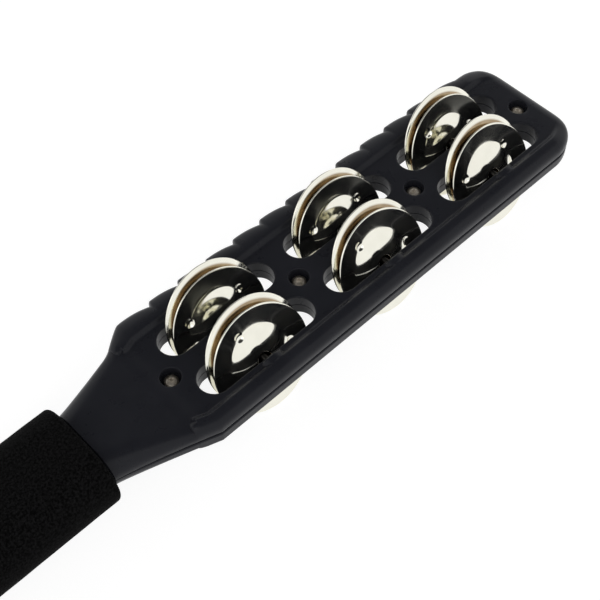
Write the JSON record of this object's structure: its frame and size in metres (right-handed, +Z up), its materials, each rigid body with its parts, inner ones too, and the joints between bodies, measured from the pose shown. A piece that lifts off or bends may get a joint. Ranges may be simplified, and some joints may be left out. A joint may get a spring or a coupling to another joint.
{
  "type": "jingle stick",
  "caption": "Hand-held jingle stick: a split plastic body with paired metal discs spinning on pins in slots, a scraper edge and a foam grip.",
  "frame": {"origin": "middle of the bounding box's underside, on the ground plane that the jingle rims stand on", "axes": "+X from the handle to the tip, +Y towards the scraper edge, +Z up, out of the screw side"},
  "size_m": [0.3086, 0.0482, 0.033],
  "materials": {
    "shell_plastic": "moulded semi-gloss black",
    "jingle_nickel": "bright nickel plate",
    "steel": "plain zinc-plated steel",
    "pin_steel": "blackened steel",
    "grip_foam": "matt closed-cell foam"
  },
  "bodies": {
    "stick": {"top_shell": "shell_plastic", "bottom_shell": "shell_plastic", "foam_grip": "grip_foam", "screw_1": "steel", "screw_2": "steel", "screw_3": "steel", "screw_4": "steel", "pin_right_1": "pin_steel", "pin_right_2": "pin_steel", "pin_right_3": "pin_steel", "pin_left_1": "pin_steel", "pin_left_2": "pin_steel", "pin_left_3": "pin_steel"},
    "jingle_right_1_outer": {"jingle_right_1_outer": "jingle_nickel"},
    "jingle_right_1_inner": {"jingle_right_1_inner": "jingle_nickel"},
    "jingle_right_2_outer": {"jingle_right_2_outer": "jingle_nickel"},
    "jingle_right_2_inner": {"jingle_right_2_inner": "jingle_nickel"},
    "jingle_right_3_outer": {"jingle_right_3_outer": "jingle_nickel"},
    "jingle_right_3_inner": {"jingle_right_3_inner": "jingle_nickel"},
    "jingle_left_1_inner": {"jingle_left_1_inner": "jingle_nickel"},
    "jingle_left_1_outer": {"jingle_left_1_outer": "jingle_nickel"},
    "jingle_left_2_inner": {"jingle_left_2_inner": "jingle_nickel"},
    "jingle_left_2_outer": {"jingle_left_2_outer": "jingle_nickel"},
    "jingle_left_3_inner": {"jingle_left_3_inner": "jingle_nickel"},
    "jingle_left_3_outer": {"jingle_left_3_outer": "jingle_nickel"}
  },
  "joints": [
    {"name": "spin_right_1_outer", "type": "hinge", "parent": "stick", "child": "jingle_right_1_outer", "pos_m": [0.01864, -0.01392, 0.01656], "axis": [0, 0.891, -0.454], "continuous": true},
    {"name": "spin_right_1_inner", "type": "hinge", "parent": "stick", "child": "jingle_right_1_inner", "pos_m": [0.01864, -0.00808, 0.01656], "axis": [0, 0.891, -0.454], "continuous": true},
    {"name": "spin_right_2_outer", "type": "hinge", "parent": "stick", "child": "jingle_right_2_outer", "pos_m": [0.06964, -0.01392, 0.01656], "axis": [0, 0.891, -0.454], "continuous": true},
    {"name": "spin_right_2_inner", "type": "hinge", "parent": "stick", "child": "jingle_right_2_inner", "pos_m": [0.06964, -0.00808, 0.01656], "axis": [0, 0.891, -0.454], "continuous": true},
    {"name": "spin_right_3_outer", "type": "hinge", "parent": "stick", "child": "jingle_right_3_outer", "pos_m": [0.12064, -0.01392, 0.01656], "axis": [0, 0.891, -0.454], "continuous": true},
    {"name": "spin_right_3_inner", "type": "hinge", "parent": "stick", "child": "jingle_right_3_inner", "pos_m": [0.12064, -0.00808, 0.01656], "axis": [0, 0.891, -0.454], "continuous": true},
    {"name": "spin_left_1_inner", "type": "hinge", "parent": "stick", "child": "jingle_left_1_inner", "pos_m": [0.01864, 0.00456, 0.01648], "axis": [0, 0.9171, -0.3987], "continuous": true},
    {"name": "spin_left_1_outer", "type": "hinge", "parent": "stick", "child": "jingle_left_1_outer", "pos_m": [0.01864, 0.01024, 0.01648], "axis": [0, 0.9171, -0.3987], "continuous": true},
    {"name": "spin_left_2_inner", "type": "hinge", "parent": "stick", "child": "jingle_left_2_inner", "pos_m": [0.06964, 0.00456, 0.01648], "axis": [0, 0.9171, -0.3987], "continuous": true},
    {"name": "spin_left_2_outer", "type": "hinge", "parent": "stick", "child": "jingle_left_2_outer", "pos_m": [0.06964, 0.01024, 0.01648], "axis": [0, 0.9171, -0.3987], "continuous": true},
    {"name": "spin_left_3_inner", "type": "hinge", "parent": "stick", "child": "jingle_left_3_inner", "pos_m": [0.12064, 0.00456, 0.01648], "axis": [0, 0.9171, -0.3987], "continuous": true},
    {"name": "spin_left_3_outer", "type": "hinge", "parent": "stick", "child": "jingle_left_3_outer", "pos_m": [0.12064, 0.01024, 0.01648], "axis": [0, 0.9171, -0.3987], "continuous": true}
  ]
}
